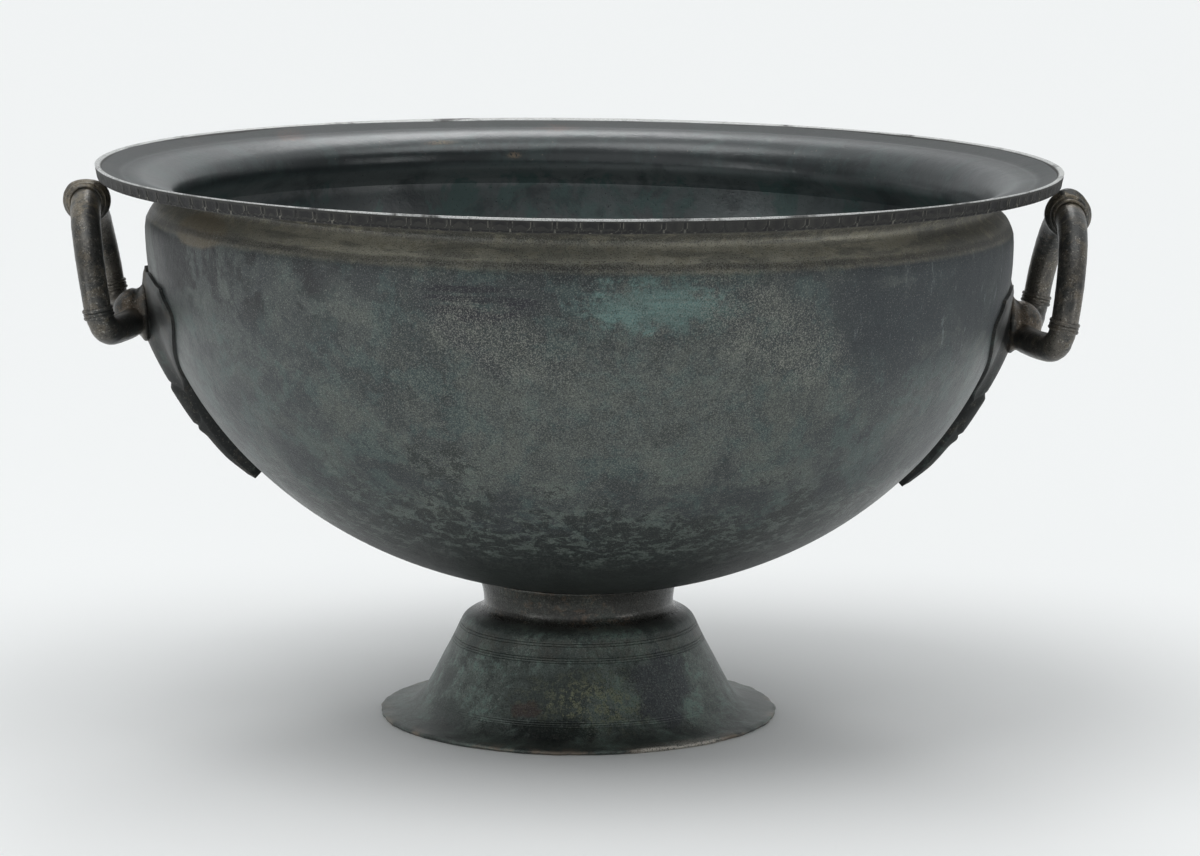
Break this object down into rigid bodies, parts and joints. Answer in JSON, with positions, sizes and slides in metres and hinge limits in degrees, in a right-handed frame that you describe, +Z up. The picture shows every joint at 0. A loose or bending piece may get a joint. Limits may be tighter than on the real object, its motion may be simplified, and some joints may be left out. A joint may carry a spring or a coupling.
{
  "type": "footed basin",
  "caption": "Deep round bowl with a flaring tongue-carved lip on a turned spreading foot, with an upright loop handle on a leaf-shaped plate at each side.",
  "frame": {"origin": "on the standing plane, under the middle of the basin", "axes": "+Z up, +X through the handle on the right of the picture, +Y away from the camera's side"},
  "size_m": [0.5558, 0.52, 0.3045],
  "materials": {
    "bowl_bronze": "dark blue-grey patinated bronze, mottled, satin",
    "foot_bronze": "green-black patinated bronze, mottled, satin",
    "handle_bronze": "brown-black patinated bronze, worn and glossier"
  },
  "bodies": {
    "root": {"bowl": "bowl_bronze", "foot": "foot_bronze", "handle_right": "handle_bronze", "handle_left": "handle_bronze"}
  },
  "joints": []
}
